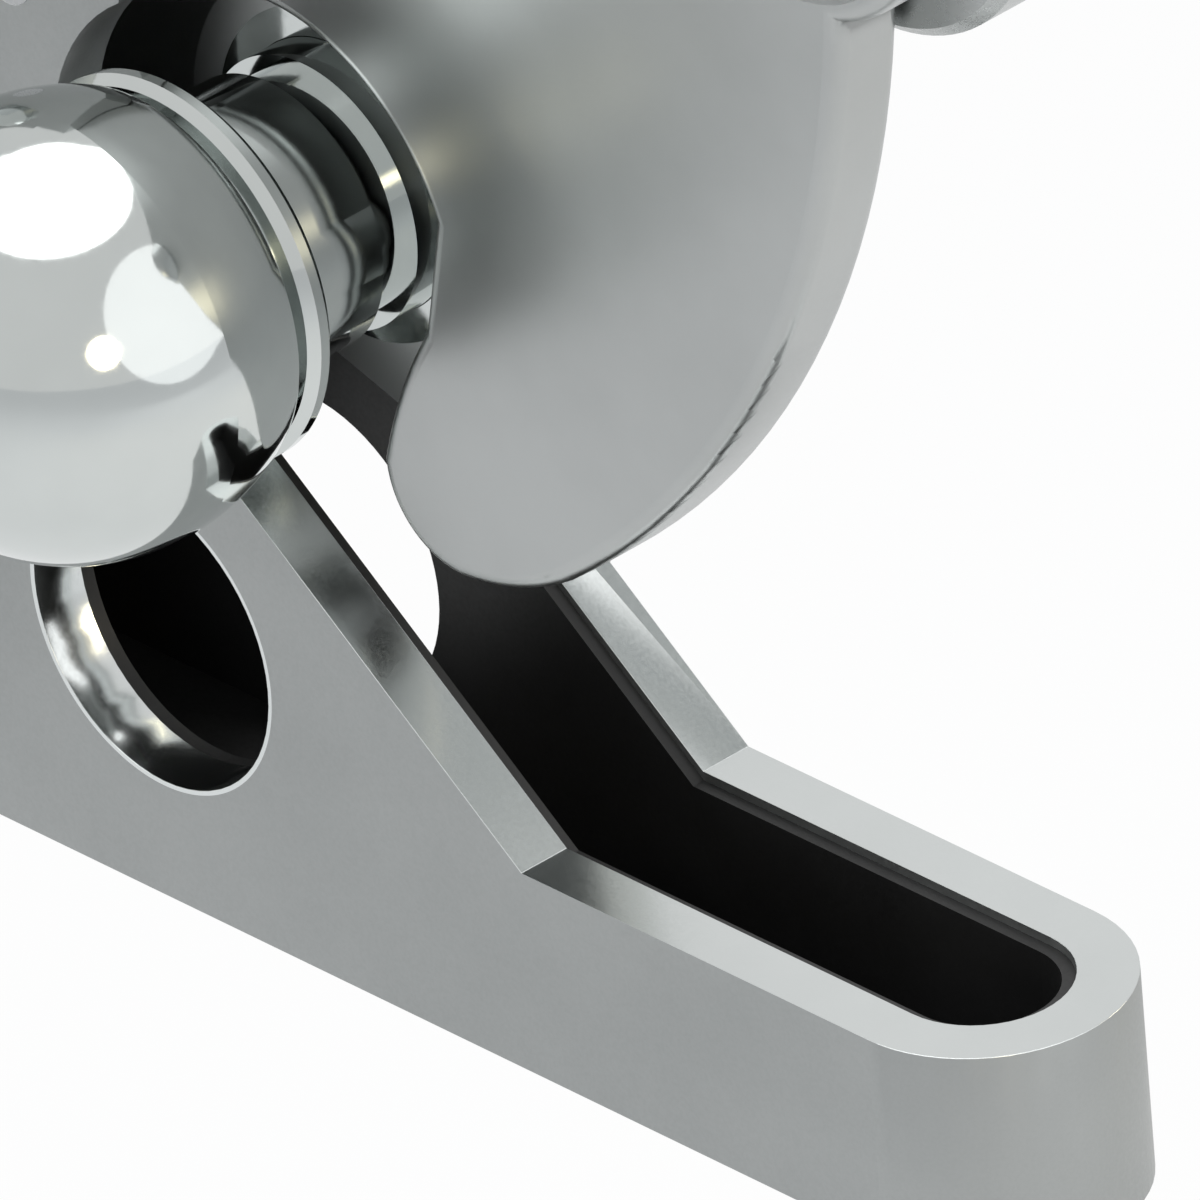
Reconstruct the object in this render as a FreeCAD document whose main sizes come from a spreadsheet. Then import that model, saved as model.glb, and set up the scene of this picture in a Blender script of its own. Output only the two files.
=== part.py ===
import FreeCAD, Part
import Sketcher
import math
import os
import re

os.makedirs("parts", exist_ok=True)
doc = FreeCAD.newDocument("gate_latch")

# Driving dimensions in millimetres. The frame has its origin on the back of the post plate.
# HoleAhead and HoleHeight place the axis of the round cheek holes, and other places start there.
SIZES = {
    "PlateThick": 6.0,
    "PlateWidth": 60.0,
    "PlateHeight": 130.0,
    "PostHole": 8.5,
    "PostHoleWide": 40.0,
    "PostHoleTall": 104.0,
    "HoleAhead": 60.0,
    "HoleHeight": -35.0,
    "BodyWidth": 25.0,
    "CheekThick": 5.0,
    "FloorThick": 5.0,
    "EndWall": 8.0,
    "CheekHole": 27.0,
    "BaseDepth": 24.5,
    "BendAhead": 42.0,
    "BendDrop": 5.8,
    "RampRun": 47.3,
    "RampRise": 36.8,
    "NoseAhead": 81.2,
    "LinerThick": 1.2,
    "LinerDrop": 0.8,
    "LinerTop": 6.0,
    "KnobAhead": 14.0,
    "KnobUp": 42.0,
    "KnobGap": 20.5,
    "HingeBack": 22.0,
    "HingeUp": 74.0,
    "HingePin": 10.0,
    "HingeFit": 0.05,
    "BushWall": 2.5,
    "PinHead": 3.0,
    "PinEnd": 7.0,
    "WasherThick": 1.5,
    "NutTop": 3.0,
    "CheekCover": 13.0,
    "CheekLean": 6.0,
    "ArmGap": 0.3,
    "LobeThick": 7.2,
    "HubRound": 12.0,
    "HubLip": 0.8,
    "ArchRound": 18.5,
    "ArchEnd": 5.6,
    "ArchLeft": 8.5,
    "ThroatAhead": 29.3,
    "ThroatUp": 36.6,
    "ThroatRound": 50.0,
    "TipAhead": 31.3,
    "TipUp": 14.6,
    "TipRound": 8.2,
    "FootAhead": 43.5,
    "FootUp": 18.7,
    "FootRound": 25.6,
    "LobeRound": 91.0,
    "ArmEdge": 1.5,
    "WebThick": 4.0,
    "WebRound": 17.5,
    "WebReach": 26.0,
    "WebTop": 20.0,
    "WebHeel": 5.3,
    "WebToe": 6.6,
    "WebDrop": 20.4,
    "WebFoot": 20.0,
    "GripAhead": 76.1,
    "GripUp": 97.3,
    "GripBoss": 14.6,
    "GripSize": 38.0,
    "GripGap": 0.6,
    "GripEdge": 1.0,
    "GripLength": 92.0,
    "CoreSize": 12.0,
    "GripScrew": 7.2,
    "CapSize": 25.4,
    "CapHigh": 7.4,
    "EndRise": 6.0,
    "BallSize": 38.0,
    "BallReach": 30.0,
    "BallBack": 8.5,
    "GrooveSize": 29.0,
    "GrooveWide": 1.8,
    "CollarSize": 33.6,
    "CollarThick": 2.5,
    "CollarEdge": 0.8,
    "NeckSize": 23.7,
    "NeckFront": 9.8,
    "NeckRing": 3.7,
    "RingSize": 21.0,
    "NeckEdge": 1.0,
    "ShankSize": 12.0,
    "TipGap": 0.2,
    "SpigotSize": 8.0,
    "SpigotLength": 14.0,
    "GuideSize": 29.0,
    "NeckFit": 0.05,
    "PushTravel": 8.0,
    "LockGap": 0.5,
    "LockThick": 5.0,
    "LockHoleFit": 0.6,
    "LockEar": 24.0,
    "LockFoot": 21.5,
    "LockHeel": 4.0,
    "LockEyeGap": 0.75,
    "CheekScrew": 5.0,
    "CheekScrewOut": 5.7,
    "CheekScrewHead": 2.6,
    "PlateScrew": 6.0,
    "PlateScrewLow": -10.0,
    "PlateScrewPitch": 30.0,
    "SinkGap": 0.3,
    "SinkDeep": 0.2,
    "FrictionScrew": 3.0,
    "FrictionLong": 6.0,
    "StopSize": 6.0,
    "StopAlong": 12.0,
    "StopGap": 0.2,
}

sheet = doc.addObject("Spreadsheet::Sheet", "sizes")
for row, (alias, value) in enumerate(SIZES.items(), start=1):
    sheet.set(f"A{row}", alias)
    sheet.set(f"B{row}", str(value))
    sheet.setAlias(f"B{row}", alias)
doc.recompute()

NAMES = re.compile(r"\b(" + "|".join(SIZES) + r")\b")
CHEEK_TOP = "(HingeUp + CheekCover)"
TALL = f"({CHEEK_TOP} + BaseDepth)"
HALF = "(BodyWidth / 2)"
SLOT = "(BodyWidth / 2 - CheekThick)"
ARM_SIDE = f"({SLOT} - ArmGap)"
LOBE_BACK = f"(LobeThick - {ARM_SIDE})"
pieces = []


def bound(formula):
    """A formula of size names, written for the spreadsheet."""
    return NAMES.sub(r"sizes.\1", formula)


def bind(item, prop, formula):
    """Bind one property of an object to a formula of size names."""
    item.setExpression(prop, bound(formula))


def number(formula):
    """The value of a formula of size names, read from the sheet."""
    probe = doc.addObject("App::FeaturePython", "probe")
    probe.addProperty("App::PropertyFloat", "Value")
    bind(probe, "Value", formula)
    probe.recompute()
    value = probe.Value
    doc.removeObject(probe.Name)
    return value


def new_body(label, x="HoleAhead", y="0", z="HoleHeight"):
    """An empty body whose place is bound to the sheet."""
    body = doc.addObject("PartDesign::Body", label)
    body.Label = label
    for axis, formula in zip("xyz", (x, y, z)):
        bind(body, f"Placement.Base.{axis}", formula)
    pieces.append(body)
    return body


def sketch_on(body, plane, name, lift="0"):
    """A sketch on one of the body's own planes, lifted along the plane's normal."""
    sketch = body.newObject("Sketcher::SketchObject", name)
    support = [item for item in body.Origin.OriginFeatures if item.Role == plane][0]
    sketch.AttachmentSupport = [(support, "")]
    sketch.MapMode = "FlatFace"
    bind(sketch, "AttachmentOffset.Base.z", lift)
    return sketch


def pin_point(sketch, edge, end, across, up):
    """Hold one sketch point at two formulas."""
    for kind, formula in (("DistanceX", across), ("DistanceY", up)):
        value = number(formula)
        index = sketch.addConstraint(Sketcher.Constraint(kind, -1, 1, edge, end, value))
        if formula != "0":
            sketch.setExpression(f"Constraints[{index}]", bound(formula))


def arc_between(start, stop, radius, side):
    """A minor arc whose bulge lies to the given side of the way from start to stop."""
    chord = stop - start
    half = chord.Length / 2
    normal = FreeCAD.Vector(-chord.y, chord.x, 0).normalize() * (1 if side == "left" else -1)
    centre = (start + stop) * 0.5 - normal * math.sqrt(max(radius * radius - half * half, 0.0))
    ring = Part.Circle(centre, FreeCAD.Vector(0, 0, 1), radius)
    low, high = (stop, start) if side == "left" else (start, stop)
    angles = [math.atan2(spot.y - centre.y, spot.x - centre.x) for spot in (low, high)]
    if angles[1] < angles[0]:
        angles[1] += 2 * math.pi
    return Part.ArcOfCircle(ring, *angles)


def outline(sketch, corners, arcs=None):
    """A closed outline. Each corner is a pair of formulas; arcs maps a corner to (radius, side)."""
    arcs = arcs or {}
    spots = [FreeCAD.Vector(number(across), number(up), 0) for across, up in corners]
    ends = []
    for index, start in enumerate(spots):
        stop = spots[(index + 1) % len(spots)]
        if index in arcs:
            radius, side = arcs[index]
            edge = sketch.addGeometry(arc_between(start, stop, number(radius), side), False)
            first = 2 if side == "left" else 1
            ends.append((edge, first, 3 - first))
        else:
            edge = sketch.addGeometry(Part.LineSegment(start, stop), False)
            ends.append((edge, 1, 2))
    for index, (edge, first, last) in enumerate(ends):
        after, after_first, _ = ends[(index + 1) % len(ends)]
        sketch.addConstraint(Sketcher.Constraint("Coincident", edge, last, after, after_first))
        pin_point(sketch, edge, first, *corners[index])
    for index, (radius, _) in arcs.items():
        edge = ends[index][0]
        held = sketch.addConstraint(Sketcher.Constraint("Radius", edge, number(radius)))
        sketch.setExpression(f"Constraints[{held}]", bound(radius))


def circle(sketch, across, up, diameter):
    """A circle held by its centre and diameter."""
    centre = FreeCAD.Vector(number(across), number(up), 0)
    up_axis = FreeCAD.Vector(0, 0, 1)
    edge = sketch.addGeometry(Part.Circle(centre, up_axis, number(diameter) / 2), False)
    held = sketch.addConstraint(Sketcher.Constraint("Diameter", edge, number(diameter)))
    sketch.setExpression(f"Constraints[{held}]", bound(diameter))
    pin_point(sketch, edge, 3, across, up)


def pad(body, sketch, length, middle=False, back=False):
    """Grow a sketch into a solid."""
    feature = body.newObject("PartDesign::Pad", f"{sketch.Name}_pad")
    feature.Profile = sketch
    bind(feature, "Length", length)
    feature.Midplane = middle
    feature.Reversed = back
    doc.recompute()
    return feature


def cut(body, sketch, length, middle=False, back=False):
    """Cut a sketch out of the body, and make sure that it took something away."""
    before = body.Shape.Volume
    feature = body.newObject("PartDesign::Pocket", f"{sketch.Name}_cut")
    feature.Profile = sketch
    bind(feature, "Length", length)
    feature.Midplane = middle
    feature.Reversed = back
    doc.recompute()
    if body.Shape.Volume > before - 1e-3:
        raise RuntimeError(f"{feature.Name} removed nothing")
    return feature


def cross_hole(body, name, across, up, diameter, length="4 * BodyWidth"):
    """A round hole through the body along Y."""
    sketch = sketch_on(body, "XZ_Plane", name)
    circle(sketch, across, up, diameter)
    return cut(body, sketch, length, middle=True)


def round_edges(body, name, radius, wanted):
    """Round the edges of the body for which wanted(edge) is true."""
    base = body.Tip
    edges = [f"Edge{i}" for i, edge in enumerate(base.Shape.Edges, start=1) if wanted(edge)]
    feature = body.newObject("PartDesign::Fillet", name)
    feature.Base = (base, edges)
    bind(feature, "Radius", radius)
    doc.recompute()
    return feature


def turned(label, corners, across="0", up="0", arcs=None):
    """A body of revolution about Y. Corners are (place along Y, radius) pairs of formulas."""
    body = new_body(label, f"HoleAhead + {across}", "0", f"HoleHeight + {up}")
    sketch = sketch_on(body, "YZ_Plane", f"{label}_profile")
    outline(sketch, corners, arcs)
    feature = body.newObject("PartDesign::Revolution", f"{label}_turn")
    feature.Profile = sketch
    feature.ReferenceAxis = (sketch, ["H_Axis"])
    feature.Angle = 360
    doc.recompute()
    return body


def step(y_from, y_to, radius, bore="0"):
    """The four corners of a plain turned ring or disc."""
    return [(y_from, bore), (y_to, bore), (y_to, radius), (y_from, radius)]


# The rim line of the cheeks, in the side view from the hole axis
RAMP_TOP_X = "(BendAhead - RampRun)"
RAMP_TOP_Z = "(RampRise - BendDrop)"
BACK_X = "(PlateThick - HoleAhead)"
NOSE_TIP = f"(NoseAhead + {HALF})"
TOP_FRONT = "(KnobAhead - KnobGap / 2 - CheekLean)"

# The arm's lower line from the hub to the arch, and the stop pin that lies just below it
HUB = ("-HingeBack", "HingeUp")
HUB_LOW = "(HingeUp - HubRound)"
ARCH_LEFT = ("(KnobAhead - ArchLeft)", "(KnobUp + sqrt(ArchRound ^ 2 - ArchLeft ^ 2))")
LINE_X = f"({ARCH_LEFT[0]} + HingeBack)"
LINE_Z = f"({ARCH_LEFT[1]} - {HUB_LOW})"
LINE = f"sqrt({LINE_X} ^ 2 + {LINE_Z} ^ 2)"
BELOW = "(StopSize / 2 + StopGap)"
STOP = (
    f"(-HingeBack + (StopAlong * {LINE_X} + {BELOW} * {LINE_Z}) / {LINE})",
    f"({HUB_LOW} + (StopAlong * {LINE_Z} - {BELOW} * {LINE_X}) / {LINE})",
)


def channel(label, width, end_x, nose_round, drop, floor, inner_width, inner_end, inner_floor):
    """A round nosed channel: plan outline, side outline above the rim, slot and cheek holes."""
    body = new_body(label)
    plan = sketch_on(body, "XY_Plane", f"{label}_plan", f"-BaseDepth + {floor}")
    half = f"({width} / 2)"
    corners = [(end_x, f"-{half}"), ("NoseAhead", f"-{half}"), ("NoseAhead", half), (end_x, half)]
    round_nose(plan, corners, nose_round)
    pad(body, plan, f"{TALL} - {floor}")
    side = sketch_on(body, "XZ_Plane", f"{label}_side")
    over = f"2 * {CHEEK_TOP}"
    outline(side, [
        (f"{NOSE_TIP} + EndWall", f"-BendDrop - {drop}"),
        ("BendAhead", f"-BendDrop - {drop}"),
        (RAMP_TOP_X, f"{RAMP_TOP_Z} - {drop}"),
        ("KnobAhead - KnobGap / 2", "KnobUp + KnobGap"),
        (TOP_FRONT, CHEEK_TOP),
        (TOP_FRONT, over),
        (f"{NOSE_TIP} + EndWall", over),
    ])
    cut(body, side, "4 * BodyWidth", middle=True)
    slot = sketch_on(body, "XY_Plane", f"{label}_slot", f"-BaseDepth + {inner_floor}")
    inner = f"({inner_width} / 2)"
    inside = [(inner_end, f"-{inner}"), ("NoseAhead", f"-{inner}"), ("NoseAhead", inner), (inner_end, inner)]
    round_nose(slot, inside, inner)
    cut(body, slot, f"2 * {TALL}", back=True)
    cross_hole(body, f"{label}_eye", "0", "0", "CheekHole")
    cross_hole(body, f"{label}_knob_room", "KnobAhead", "KnobUp", "2 * KnobGap")
    return body


def round_nose(sketch, corners, radius):
    """A plan outline whose front end is a half circle made of two quarter arcs."""
    back_low, low, high, back_high = corners
    tip = (f"NoseAhead + {radius}", "0")
    outline(sketch, [back_low, low, tip, high, back_high], {1: (radius, "right"), 2: (radius, "right")})


# Channel body with both cheeks, its nose, floor and end wall
channel_body = channel(
    "channel_body", "BodyWidth", BACK_X, HALF, "0", "0",
    f"2 * {SLOT}", f"{BACK_X} + EndWall", "FloorThick")
cross_hole(channel_body, "hinge_hole", *HUB, "HingePin")
cross_hole(channel_body, "stop_hole", *STOP, "StopSize")
SCREW_REACH = "(CheekHole / 2 + CheekScrewOut)"
SCREW_SPOTS = [(f"({SCREW_REACH} * cos({turn}))", f"({SCREW_REACH} * sin({turn}))") for turn in (20, 84)]
for index, (across, up) in enumerate(SCREW_SPOTS, start=1):
    sketch = sketch_on(channel_body, "XZ_Plane", f"tapped_{index}", f"-({SLOT})")
    circle(sketch, across, up, "CheekScrew")
    cut(channel_body, sketch, "2 * CheekThick", back=False)
PLATE_SCREWS = [f"(PlateScrewLow + {row} * PlateScrewPitch)" for row in range(3)]
for index, height in enumerate(PLATE_SCREWS, start=1):
    sketch = sketch_on(channel_body, "YZ_Plane", f"end_tap_{index}", BACK_X)
    circle(sketch, "0", height, "PlateScrew")
    cut(channel_body, sketch, "EndWall", back=True)

# Black liner that lines the inside of the channel
liner = channel(
    "channel_liner", f"2 * {SLOT}", f"{BACK_X} + EndWall", SLOT, "LinerDrop", "FloorThick",
    f"(2 * {SLOT} - 2 * LinerThick)", f"{BACK_X} + EndWall + LinerThick", "(FloorThick + LinerThick)")
trim = sketch_on(liner, "XZ_Plane", "liner_trim")
LINER_TOP = "(RampRise - BendDrop - LinerDrop - LinerTop)"
outline(trim, [
    (f"{BACK_X} - EndWall", LINER_TOP),
    (NOSE_TIP, LINER_TOP),
    (NOSE_TIP, f"2 * {CHEEK_TOP}"),
    (f"{BACK_X} - EndWall", f"2 * {CHEEK_TOP}"),
])
cut(liner, trim, "4 * BodyWidth", middle=True)

# Plate that is bolted to the gate post
plate = new_body("mount_plate", "0", "0", "0")
face = sketch_on(plate, "YZ_Plane", "plate_face")
wide = "(PlateWidth / 2)"
tall = "(PlateHeight / 2)"
outline(face, [(f"-{wide}", f"-{tall}"), (wide, f"-{tall}"), (wide, tall), (f"-{wide}", tall)])
pad(plate, face, "PlateThick")
holes = sketch_on(plate, "YZ_Plane", "post_holes")
for side in ("-", ""):
    for level in ("-", ""):
        circle(holes, f"{side}PostHoleWide / 2", f"{level}PostHoleTall / 2", "PostHole")
cut(plate, holes, "PlateThick", back=True)
for index, height in enumerate(PLATE_SCREWS, start=1):
    bore = sketch_on(plate, "YZ_Plane", f"plate_bore_{index}")
    circle(bore, "0", f"HoleHeight + {height}", "PlateScrew")
    cut(plate, bore, "PlateThick", back=True)
    sink = sketch_on(plate, "YZ_Plane", f"plate_sink_{index}")
    circle(sink, "0", f"HoleHeight + {height}", "2 * PlateScrew")
    cut(plate, sink, "PlateThick / 2", back=True)
plate_side = number("PlateWidth / 2")
round_edges(plate, "plate_corners", "PlateThick", lambda edge: edge.BoundBox.YLength < 1e-6
            and edge.BoundBox.ZLength < 1e-6 and abs(edge.BoundBox.YMin) > plate_side - 1e-6)


def screw_group(label, places, head, shank, head_long, shank_long, direction):
    """Identical screws as separate solids: a round head and a plain shank along one direction."""
    solids = []
    for spot in places:
        top = Part.makeCylinder(head, head_long, spot, direction)
        stem = Part.makeCylinder(shank, shank_long, spot + direction * head_long, direction)
        socket = Part.makeCylinder(head * 0.5, head_long * 0.6, spot, direction)
        solids.append(top.fuse(stem).cut(socket).removeSplitter().Solids[0])
    item = doc.addObject("Part::Feature", label)
    item.Label = label
    item.Shape = Part.makeCompound(solids)
    pieces.append(item)
    return item


# Three sunk screws that hold the channel body to the plate
x_axis = FreeCAD.Vector(1, 0, 0)
y_axis = FreeCAD.Vector(0, 1, 0)
hole_x = number("HoleAhead")
hole_z = number("HoleHeight")
sink_deep = number("SinkDeep")
screw_group(
    "plate_screws",
    [FreeCAD.Vector(sink_deep, 0, hole_z + number(height)) for height in PLATE_SCREWS],
    number("PlateScrew - SinkGap"), number("PlateScrew / 2"), number("PlateThick / 2 - SinkDeep"),
    number("PlateThick / 2 + EndWall"), x_axis)

# Lock plate outside the far cheek, with the hole that takes the pushed bolt
lock = new_body("lock_plate")
far_side = f"-({HALF})"
face = sketch_on(lock, "XZ_Plane", "lock_face", far_side)
outline(face, [
    ("LockFoot", "-LockHeel / 4"),
    ("KnobAhead + LockEar / 2", "KnobUp"),
    ("KnobAhead", "KnobUp + LockEar / 2"),
    ("KnobAhead - LockEar / 2", "KnobUp"),
    ("-CheekHole / 3", "CheekHole / 2 + LockHeel"),
    ("CheekHole / 4", "CheekHole / 4"),
    ("LockFoot - LockHeel", "-LockHeel"),
], {1: ("LockEar / 2", "right"), 2: ("LockEar / 2", "right")})
pad(lock, face, "LockThick", back=True)
room = sketch_on(lock, "XZ_Plane", "lock_eye_room", far_side)
circle(room, "0", "0", "CheekHole + 2 * LockEyeGap")
cut(lock, room, "2 * LockThick", back=False)
LOCK_BORES = [("KnobAhead", "KnobUp", "ShankSize + 2 * LockHoleFit")]
LOCK_BORES += [(across, up, "CheekScrew") for across, up in SCREW_SPOTS]
for index, (across, up, size) in enumerate(LOCK_BORES, start=1):
    bore = sketch_on(lock, "XZ_Plane", f"lock_bore_{index}", far_side)
    circle(bore, across, up, size)
    cut(lock, bore, "2 * LockThick", back=False)
lock_outside = number(f"{HALF} + LockThick")
screw_head = number("CheekScrewHead")
screw_group(
    "lock_plate_screws",
    [FreeCAD.Vector(hole_x + number(x), lock_outside + screw_head, hole_z + number(z)) for x, z in SCREW_SPOTS],
    number("CheekScrew * 0.85"), number("CheekScrew / 2"), screw_head,
    number("LockThick + CheekThick"), y_axis * -1)

# Hinge of the arm: headed pin, bush, washer and cap nut
PIN = "(HingePin / 2)"
NUT = "(HingePin * 0.8)"
turned("hinge_pin", [
    (f"-{HALF} - PinHead", "0"), (f"{HALF} + PinEnd", "0"), (f"{HALF} + PinEnd", PIN),
    (f"-{HALF}", PIN), (f"-{HALF}", "HingePin * 0.9"), (f"-{HALF} - PinHead / 2", "HingePin * 0.9"),
    (f"-{HALF} - PinHead", "HingePin * 0.6"),
], *HUB)
turned("hinge_bush", step(f"-{ARM_SIDE}", ARM_SIDE, f"{PIN} + BushWall", f"{PIN} + HingeFit"), *HUB)
turned("hinge_washer", step(HALF, f"{HALF} + WasherThick", "HingePin", PIN), *HUB)
turned("hinge_nut", [
    (f"{HALF} + WasherThick", PIN), (f"{HALF} + PinEnd", PIN), (f"{HALF} + PinEnd", "0"),
    (f"{HALF} + PinEnd + NutTop", "0"), (f"{HALF} + PinEnd + NutTop / 2", "HingePin * 0.55"),
    (f"{HALF} + PinEnd", NUT), (f"{HALF} + WasherThick", NUT),
], *HUB)

# Stop pin under the arm, across both cheeks
turned("stop_pin", step(f"-{HALF}", HALF, "StopSize / 2"), *STOP)

# Latch arm: a plate with its arch, lobe and grip boss, a hub across the slot, and a web for the guide
arm = new_body("latch_arm")
side = sketch_on(arm, "XZ_Plane", "arm_side", ARM_SIDE)
outline(side, [
    ("-HingeBack", "HingeUp + HubRound"),
    ("GripAhead", "GripUp + GripBoss"),
    ("GripAhead + GripBoss", "GripUp"),
    ("GripAhead + GripBoss / 3", "GripUp - GripBoss * sqrt(8) / 3"),
    ("FootAhead", "FootUp"),
    ("TipAhead", "TipUp"),
    ("TipAhead - TipRound", "TipUp + TipRound"),
    ("ThroatAhead", "ThroatUp"),
    ("KnobAhead + sqrt(ArchRound ^ 2 - ArchEnd ^ 2)", "KnobUp + ArchEnd"),
    ("KnobAhead", "KnobUp + ArchRound"),
    ARCH_LEFT,
    ("-HingeBack", HUB_LOW),
    ("-HingeBack - HubRound", "HingeUp"),
], {1: ("GripBoss", "left"), 2: ("GripBoss", "left"), 3: ("LobeRound", "left"),
    4: ("FootRound", "left"), 5: ("TipRound", "left"), 6: ("ThroatRound", "left"),
    8: ("ArchRound", "right"), 9: ("ArchRound", "right"),
    11: ("HubRound", "left"), 12: ("HubRound", "left")})
pad(arm, side, "LobeThick", back=True)
for name, place in (("front_edges", f"-{ARM_SIDE}"), ("back_edges", LOBE_BACK)):
    level = number(place)
    round_edges(arm, name, "ArmEdge", lambda edge: edge.BoundBox.YLength < 1e-6
                and abs(edge.BoundBox.YMin - level) < 1e-6)
hub = sketch_on(arm, "XZ_Plane", "arm_hub", f"-{ARM_SIDE}")
circle(hub, *HUB, "2 * (HubRound + HubLip)")
pad(arm, hub, f"2 * {ARM_SIDE}")
web = sketch_on(arm, "XZ_Plane", "arm_web", f"-({LOBE_BACK})")
outline(web, [
    ("KnobAhead + WebFoot", "KnobUp - WebDrop"),
    ("KnobAhead + WebReach", "KnobUp"),
    ("KnobAhead + WebReach", "KnobUp + WebTop"),
    ("KnobAhead - ArchLeft", "KnobUp + WebTop"),
    ("KnobAhead - WebRound * sqrt(2) / 2", "KnobUp + WebRound * sqrt(2) / 2"),
    ("KnobAhead - WebRound", "KnobUp"),
    ("KnobAhead - WebHeel", "KnobUp - sqrt(WebRound ^ 2 - WebHeel ^ 2)"),
    ("KnobAhead + WebToe", "KnobUp - WebDrop"),
], {4: ("WebRound", "right"), 5: ("WebRound", "right")})
pad(arm, web, "WebThick", back=True)
cross_hole(arm, "arm_bore", *HUB, "HingePin + 2 * BushWall")
cross_hole(arm, "grip_bore", "GripAhead", "GripUp", "GripScrew")
cross_hole(arm, "guide_bore", "KnobAhead", "KnobUp", "GuideSize")

# Guide, bolt and ball knob on the axis of the lock
AXIS = ("KnobAhead", "KnobUp")
COLLAR_BACK = "(BallBack + GrooveWide + CollarThick - BallReach)"
RING_START = f"({COLLAR_BACK} + NeckFront)"
RING_END = f"({RING_START} + NeckRing)"
NECK_END = f"({HALF} - PushTravel - LockGap)"
BOLT_TIP = f"({ARM_SIDE} - TipGap)"
NECK = "(NeckSize / 2)"
SHANK = "(ShankSize / 2)"
guide = turned("bolt_guide", step(LOBE_BACK, ARM_SIDE, "GuideSize / 2", f"{NECK} + NeckFit"), *AXIS)
turned("lock_bolt", [
    (f"{COLLAR_BACK} - SpigotLength", "0"), (BOLT_TIP, "0"), (BOLT_TIP, f"{SHANK} - NeckEdge"),
    (f"{BOLT_TIP} - NeckEdge", SHANK), (NECK_END, SHANK), (NECK_END, f"{NECK} - NeckEdge"),
    (f"{NECK_END} - NeckEdge", NECK), (RING_END, NECK), (RING_END, "RingSize / 2"),
    (RING_START, "RingSize / 2"), (RING_START, NECK), (COLLAR_BACK, NECK),
    (COLLAR_BACK, "SpigotSize / 2"), (f"{COLLAR_BACK} - SpigotLength", "SpigotSize / 2"),
], *AXIS)
GROOVE = "(BallBack - BallReach)"
BALL_EDGE = "sqrt((BallSize / 2) ^ 2 - BallBack ^ 2)"
turned("ball_knob", [
    ("-BallReach - BallSize / 2", "0"), ("-BallReach", "BallSize / 2"), (GROOVE, BALL_EDGE),
    (GROOVE, "GrooveSize / 2"), (f"{GROOVE} + GrooveWide", "GrooveSize / 2"),
    (f"{GROOVE} + GrooveWide", "CollarSize / 2 - CollarEdge"),
    (f"{GROOVE} + GrooveWide + CollarEdge", "CollarSize / 2"),
    (f"{COLLAR_BACK} - CollarEdge", "CollarSize / 2"), (COLLAR_BACK, "CollarSize / 2 - CollarEdge"),
    (COLLAR_BACK, "SpigotSize / 2"), (f"{COLLAR_BACK} - SpigotLength", "SpigotSize / 2"),
    (f"{COLLAR_BACK} - SpigotLength", "0"),
], *AXIS, arcs={0: ("BallSize / 2", "left"), 1: ("BallSize / 2", "left")})

# Grip behind the arm, on a core held by a domed screw in front
GRIP = ("GripAhead", "GripUp")
GRIP_START = f"({LOBE_BACK} + GripGap)"
GRIP_END = f"({GRIP_START} + GripLength)"
BORE = "(GripScrew / 2)"
END_SIZE = "(GripSize / 2 - GripEdge)"
turned("grip_washer", step(LOBE_BACK, GRIP_START, "GripBoss - GripEdge", BORE), *GRIP)
turned("grip_core", step(GRIP_START, GRIP_END, "CoreSize / 2", BORE), *GRIP)
turned("grip_sleeve", [
    (GRIP_START, "CoreSize / 2"), (GRIP_END, "CoreSize / 2"), (GRIP_END, END_SIZE),
    (f"{GRIP_END} - GripEdge", "GripSize / 2"), (f"{GRIP_START} + GripEdge", "GripSize / 2"),
    (GRIP_START, END_SIZE),
], *GRIP)
turned("grip_end_cap", [
    (GRIP_END, "0"), (f"{GRIP_END} + GripEdge + EndRise", "0"), (f"{GRIP_END} + GripEdge", END_SIZE),
    (GRIP_END, END_SIZE),
], *GRIP, arcs={1: (f"({END_SIZE} ^ 2 + EndRise ^ 2) / (2 * EndRise)", "right")})
turned("grip_screw", [
    (f"-{ARM_SIDE} - CapHigh", "0"), (f"{GRIP_END} - 2 * GripEdge", "0"),
    (f"{GRIP_END} - 2 * GripEdge", BORE), (f"-{ARM_SIDE}", BORE), (f"-{ARM_SIDE}", "CapSize / 2"),
], *GRIP, arcs={4: ("((CapSize / 2) ^ 2 + CapHigh ^ 2) / (2 * CapHigh)", "right")})

# Friction screw that holds the bolt where it is left, in a hole through the web and the guide
SCREW_Y = f"({LOBE_BACK} + WebThick / 2)"
drill = sketch_on(arm, "XY_Plane", "friction_hole", "KnobUp - 2 * WebDrop")
circle(drill, "KnobAhead", SCREW_Y, "FrictionScrew")
cut(arm, drill, f"2 * WebDrop - {NECK}", back=True)
drill = sketch_on(guide, "XY_Plane", "guide_drill", "-GuideSize")
circle(drill, "0", SCREW_Y, "FrictionScrew")
cut(guide, drill, "GuideSize - NeckSize / 4", back=True)
screw = doc.addObject("Part::Cylinder", "friction_screw")
bind(screw, "Radius", "FrictionScrew / 2")
bind(screw, "Height", "FrictionLong")
bind(screw, "Placement.Base.x", "HoleAhead + KnobAhead")
bind(screw, "Placement.Base.y", SCREW_Y)
bind(screw, "Placement.Base.z", f"HoleHeight + KnobUp - {NECK} - NeckFit - FrictionLong")
pieces.append(screw)

doc.recompute()
broken = [item.Label for item in doc.Objects if {"Invalid", "Error"} & set(item.State)]
if broken:
    raise RuntimeError(f"failed objects: {broken}")
for piece in pieces:
    if piece.Shape.isNull() or not piece.Shape.isValid():
        raise RuntimeError(f"bad shape: {piece.Label}")
for piece in pieces:
    piece.Shape.exportStep(f"parts/{piece.Label}.step")
    print(piece.Label, len(piece.Shape.Solids), round(piece.Shape.Volume, 1))
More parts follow.
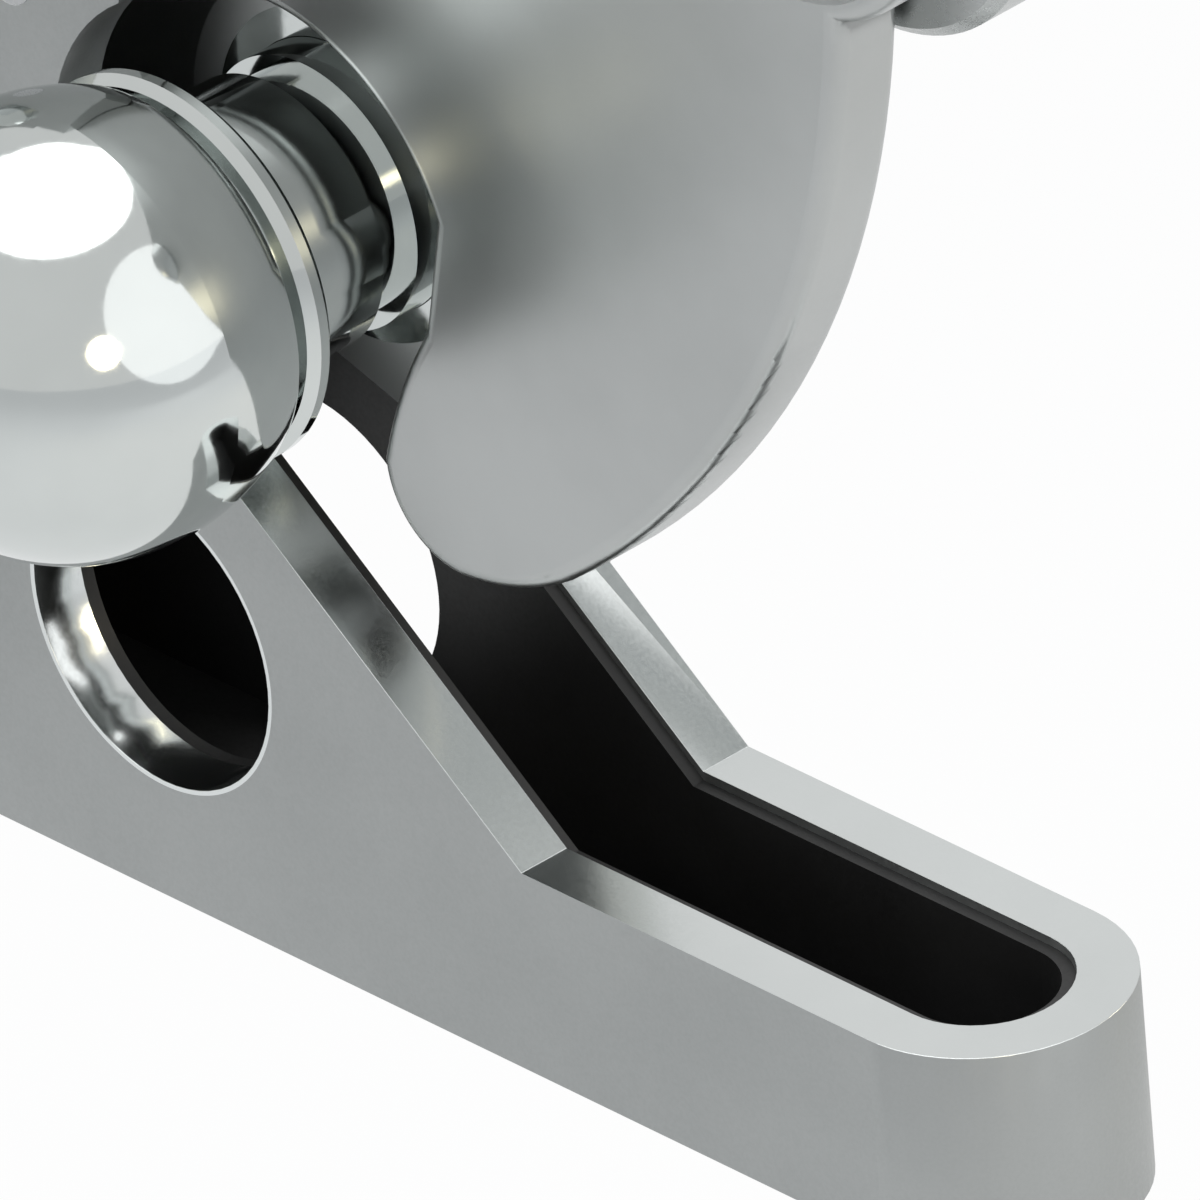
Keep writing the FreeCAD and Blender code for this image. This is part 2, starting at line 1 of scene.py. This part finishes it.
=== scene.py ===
import bpy
import math
from mathutils import Matrix, Vector

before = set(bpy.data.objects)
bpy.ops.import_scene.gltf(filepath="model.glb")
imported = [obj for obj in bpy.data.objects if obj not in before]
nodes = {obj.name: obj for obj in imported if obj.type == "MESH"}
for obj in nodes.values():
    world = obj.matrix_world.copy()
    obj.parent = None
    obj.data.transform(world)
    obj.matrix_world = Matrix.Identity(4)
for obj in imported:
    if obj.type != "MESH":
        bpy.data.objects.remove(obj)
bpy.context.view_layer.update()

scene = bpy.context.scene

# Camera at the photograph's viewing angle, through a long lens. Lengths are in metres.
RIGHT = Vector((0.6919, 0.7187, -0.0701)).normalized()
BACK = Vector((0.6431, -0.5692, 0.5121)).normalized()
UP = BACK.cross(RIGHT).normalized()
TARGET_BACK = 0.025
TARGET = Vector((0.08379, 0.01427, -0.03512)) + BACK * TARGET_BACK
FIELD_WIDTH = 0.09457
SENSOR_MM = 36
LENS_MM = 1400
CLIP_NEAR = 0.1
CLIP_FAR = 20
camera_data = bpy.data.cameras.new("camera")
camera_data.sensor_width = SENSOR_MM
camera_data.lens = LENS_MM
camera_data.clip_start = CLIP_NEAR
camera_data.clip_end = CLIP_FAR
camera = bpy.data.objects.new("camera", camera_data)
scene.collection.objects.link(camera)
distance = FIELD_WIDTH * LENS_MM / SENSOR_MM
turn = Matrix((RIGHT, UP, BACK)).transposed().to_4x4()
camera.matrix_world = Matrix.Translation(TARGET + BACK * distance) @ turn
scene.camera = camera
scene.view_settings.view_transform = "Standard"

# Materials
RAMP_LOW = 0.3
RAMP_HIGH = 0.7
GRAIN_DEPTH = 0.00002
MOTTLE_SPREAD = 0.045


def material(name):
    """A new material with its node tree and shader."""
    made = bpy.data.materials.new(name)
    made.use_nodes = True
    tree = made.node_tree
    return made, tree, tree.nodes["Principled BSDF"]


def maths(tree, operation, *values):
    """A math node fed by sockets or numbers."""
    made = tree.nodes.new("ShaderNodeMath")
    made.operation = operation
    for index, value in enumerate(values):
        if isinstance(value, (int, float)):
            made.inputs[index].default_value = value
        else:
            tree.links.new(value, made.inputs[index])
    return made.outputs[0]


def ramp(tree, source, low, high):
    """A colour ramp from a socket, between two greys or colours."""
    made = tree.nodes.new("ShaderNodeValToRGB")
    tree.links.new(source, made.inputs[0])
    stops = ((RAMP_LOW, low), (RAMP_HIGH, high))
    for element, (place, color) in zip(made.color_ramp.elements, stops):
        element.position = place
        if isinstance(color, (int, float)):
            color = (color, color, color)
        element.color = (*color, 1)
    return made.outputs[0]


def noise(tree, scale, detail, stretch=(1, 1, 1)):
    """Noise in the object's own coordinates, which are metres in the frame."""
    place = tree.nodes.new("ShaderNodeTexCoord")
    mapping = tree.nodes.new("ShaderNodeMapping")
    mapping.inputs["Scale"].default_value = stretch
    tree.links.new(place.outputs["Object"], mapping.inputs["Vector"])
    made = tree.nodes.new("ShaderNodeTexNoise")
    made.inputs["Scale"].default_value = scale
    made.inputs["Detail"].default_value = detail
    tree.links.new(mapping.outputs[0], made.inputs["Vector"])
    return made.outputs["Fac"]


def bump(tree, shader, height, strength):
    """Fine relief on the shader."""
    made = tree.nodes.new("ShaderNodeBump")
    made.inputs["Strength"].default_value = strength
    made.inputs["Distance"].default_value = GRAIN_DEPTH
    tree.links.new(height, made.inputs["Height"])
    tree.links.new(made.outputs[0], shader.inputs["Normal"])


def mixed(tree, factor, first, second):
    """A mix of two colour sockets."""
    made = tree.nodes.new("ShaderNodeMix")
    made.data_type = "RGBA"
    for name, source in (("Factor", factor), ("A", first), ("B", second)):
        tree.links.new(source, made.inputs[name])
    return made.outputs["Result"]


def metal(name, color, rough, spread, grain=2500, relief=0.15, stretch=(1, 1, 1)):
    """Bare metal with a soft mottle, a fine grain and uneven gloss."""
    made, tree, shader = material(name)
    shader.inputs["Metallic"].default_value = 1.0
    low = [value * (1 - MOTTLE_SPREAD) for value in color]
    high = [value * (1 + MOTTLE_SPREAD) for value in color]
    mottle = noise(tree, 60, 4)
    tree.links.new(ramp(tree, mottle, low, high), shader.inputs["Base Color"])
    fine = noise(tree, grain, 2, stretch)
    tree.links.new(ramp(tree, fine, rough - spread, rough + spread), shader.inputs["Roughness"])
    bump(tree, shader, fine, relief)
    return made


# The axis of the cheek holes, how far their polished wall reaches, and how far a rim faces upwards; these
# pick where the slicker finish and the painted highlight go
HOLE_AHEAD = 0.060
HOLE_HEIGHT = -0.035
BORE_REACH = 0.0139
RIM_TILT = 0.3


def cast_body():
    """Satin cast body whose upward-facing rims and bore are slicker, as a machined finish, and are also
    coloured much brighter as a painted highlight.
    """
    made, tree, shader = material("satin_cast_body")
    shader.inputs["Metallic"].default_value = 1.0
    place = tree.nodes.new("ShaderNodeTexCoord")
    parts = tree.nodes.new("ShaderNodeSeparateXYZ")
    tree.links.new(place.outputs["Object"], parts.inputs[0])
    geometry = tree.nodes.new("ShaderNodeNewGeometry")
    normal = tree.nodes.new("ShaderNodeSeparateXYZ")
    tree.links.new(geometry.outputs["Normal"], normal.inputs[0])
    ahead = maths(tree, "SUBTRACT", parts.outputs["X"], HOLE_AHEAD)
    above = maths(tree, "SUBTRACT", parts.outputs["Z"], HOLE_HEIGHT)
    squares = [maths(tree, "MULTIPLY", value, value) for value in (ahead, above)]
    reach = maths(tree, "SQRT", maths(tree, "ADD", *squares))
    bore = maths(tree, "LESS_THAN", reach, BORE_REACH)
    rim = maths(tree, "GREATER_THAN", normal.outputs["Z"], RIM_TILT)
    # One mask for the slicker machined finish and for the painted highlight
    ground_and_painted_highlight = maths(tree, "MAXIMUM", bore, rim)
    mottle = noise(tree, 45, 5)
    satin = ramp(tree, mottle, (0.375, 0.39, 0.388), (0.42, 0.435, 0.432))
    # Painted highlight: a much brighter colour on rims facing upwards and in the bore, standing in for
    # the light they catch
    painted_highlight = ramp(tree, mottle, (0.70, 0.73, 0.725), (0.76, 0.79, 0.785))
    tree.links.new(mixed(tree, ground_and_painted_highlight, satin, painted_highlight), shader.inputs["Base Color"])
    fine = noise(tree, 3000, 2)
    dull = ramp(tree, fine, 0.40, 0.50)
    slick = ramp(tree, fine, 0.16, 0.22)
    tree.links.new(mixed(tree, ground_and_painted_highlight, dull, slick), shader.inputs["Roughness"])
    bump(tree, shader, fine, 0.12)
    return made


def nylon():
    """Black nylon with a faint grain."""
    made, tree, shader = material("black_nylon")
    shade = noise(tree, 90, 3)
    tree.links.new(ramp(tree, shade, 0.010, 0.016), shader.inputs["Base Color"])
    fine = noise(tree, 2200, 2)
    tree.links.new(ramp(tree, fine, 0.42, 0.52), shader.inputs["Roughness"])
    bump(tree, shader, fine, 0.2)
    return made


# Each look and the nodes that wear it
LOOKS = [
    (cast_body(), ["channel_body"]),
    (nylon(), ["channel_liner"]),
    (metal("satin_arm_steel", (0.46, 0.475, 0.472), rough=0.32, spread=0.02, relief=0.05),
     ["latch_arm"]),
    (metal("satin_cap_steel", (0.50, 0.515, 0.512), rough=0.33, spread=0.04),
     ["grip_screw"]),
    (metal("mirror_polished_steel", (0.62, 0.65, 0.64), rough=0.07, spread=0.02, grain=1500, relief=0.02),
     ["lock_bolt", "ball_knob", "bolt_guide", "hinge_pin", "hinge_nut"]),
    (metal("turned_steel", (0.50, 0.51, 0.515), rough=0.28, spread=0.05, grain=1800, relief=0.1,
           stretch=(1, 8, 1)),
     ["plate_screws", "lock_plate_screws", "hinge_washer", "stop_pin", "grip_washer", "grip_core",
      "friction_screw"]),
    (metal("brushed_plate_steel", (0.42, 0.435, 0.432), rough=0.36, spread=0.06, grain=900,
           stretch=(1, 12, 1)),
     ["mount_plate", "lock_plate"]),
    (metal("satin_tube_steel", (0.48, 0.495, 0.492), rough=0.30, spread=0.05, grain=1600, relief=0.08,
           stretch=(1, 6, 1)),
     ["grip_sleeve", "grip_end_cap"]),
    (metal("bearing_bronze", (0.55, 0.38, 0.18), rough=0.38, spread=0.05, grain=1200, relief=0.1),
     ["hinge_bush"]),
]
for look, wearers in LOOKS:
    for name in wearers:
        for slot in nodes[name].material_slots:
            slot.material = look
        if not nodes[name].material_slots:
            nodes[name].data.materials.append(look)

# Small rounded edges that catch the light, as modifiers on the CAD nodes
WELD_REACH = 0.000002
SHARP_ANGLE = math.radians(32)
BEVEL_SEGMENTS = 3


def join_faces(name):
    """Join the mesh's faces where they meet."""
    weld = nodes[name].modifiers.new("weld", "WELD")
    weld.merge_threshold = WELD_REACH


def soften(name, width):
    """Join the mesh's faces and round its sharp edges a little."""
    join_faces(name)
    bevel = nodes[name].modifiers.new("bevel", "BEVEL")
    bevel.width = width
    bevel.segments = BEVEL_SEGMENTS
    bevel.limit_method = "ANGLE"
    bevel.angle_limit = SHARP_ANGLE
    bevel.harden_normals = True


join_faces("latch_arm")
soften("channel_body", 0.00045)
soften("mount_plate", 0.0004)
soften("lock_plate", 0.0004)


def show(tree, factor, plain, seen, surface):
    """Use the plain shader where factor is nought and the seen one where it is one."""
    blend = tree.nodes.new("ShaderNodeMixShader")
    tree.links.new(factor, blend.inputs["Fac"])
    tree.links.new(plain, blend.inputs[1])
    tree.links.new(seen, blend.inputs[2])
    tree.links.new(blend.outputs[0], surface)


# Pale floor, well below the latch
FLOOR_SIZE = 30
FLOOR_HEIGHT = -0.30
FLOOR_SEEN = 0.9
FLOOR_MIRRORED = 0.35
bpy.ops.mesh.primitive_plane_add(size=FLOOR_SIZE, location=(0, 0, FLOOR_HEIGHT))
floor = bpy.context.object
floor.name = "floor"
pale, tree, shader = material("pale_floor")
shader.inputs["Base Color"].default_value = (0.92, 0.92, 0.92, 1)
shader.inputs["Roughness"].default_value = 0.9
shader.inputs["Specular IOR Level"].default_value = 0.0
rays = tree.nodes.new("ShaderNodeLightPath").outputs
glow = tree.nodes.new("ShaderNodeEmission")
seen = maths(tree, "MAXIMUM", maths(tree, "MULTIPLY", rays["Is Camera Ray"], FLOOR_SEEN),
             maths(tree, "MULTIPLY", rays["Is Glossy Ray"], FLOOR_MIRRORED))
show(tree, seen, shader.outputs[0], glow.outputs[0], tree.nodes["Material Output"].inputs["Surface"])
floor.data.materials.append(pale)

# World: white where it is seen or mirrored, plainer where it lights the latch
world = bpy.data.worlds.new("world")
scene.world = world
world.use_nodes = True
tree = world.node_tree
sky = tree.nodes["Background"]
sky.inputs["Color"].default_value = (0.93, 0.96, 1.0, 1)
sky.inputs["Strength"].default_value = 0.55
white = tree.nodes.new("ShaderNodeBackground")
rays = tree.nodes.new("ShaderNodeLightPath").outputs
mirrored = maths(tree, "MAXIMUM", rays["Is Glossy Ray"], rays["Is Transmission Ray"])
seen = maths(tree, "MAXIMUM", rays["Is Camera Ray"], mirrored)
show(tree, seen, sky.outputs[0], white.outputs[0], tree.nodes["World Output"].inputs["Surface"])


def panel(name, away, size, power, color=(1, 1, 1)):
    """A round soft lamp that faces the latch, from a place measured along right, up and back."""
    data = bpy.data.lights.new(name, "AREA")
    data.shape = "DISK"
    data.size = size
    data.energy = power
    data.color = color
    lamp = bpy.data.objects.new(name, data)
    scene.collection.objects.link(lamp)
    offset = RIGHT * away[0] + UP * away[1] + BACK * away[2]
    aim = offset.to_track_quat("Z", "Y").to_matrix().to_4x4()
    lamp.matrix_world = Matrix.Translation(TARGET + offset) @ aim


# Studio lamps, two of them small and warm like the spots on the ball
WARM = (1.0, 0.86, 0.58)
panel("key", (-0.17, 0.93, 0.45), size=1.3, power=7.5)
panel("fill", (0.7, 0.1, 0.7), size=1.2, power=2.2)
panel("warm_low", (0.15, -0.14, 0.67), size=0.20, power=0.35, color=WARM)
panel("warm_side", (0.67, 0.19, -0.02), size=0.22, power=0.5, color=WARM)
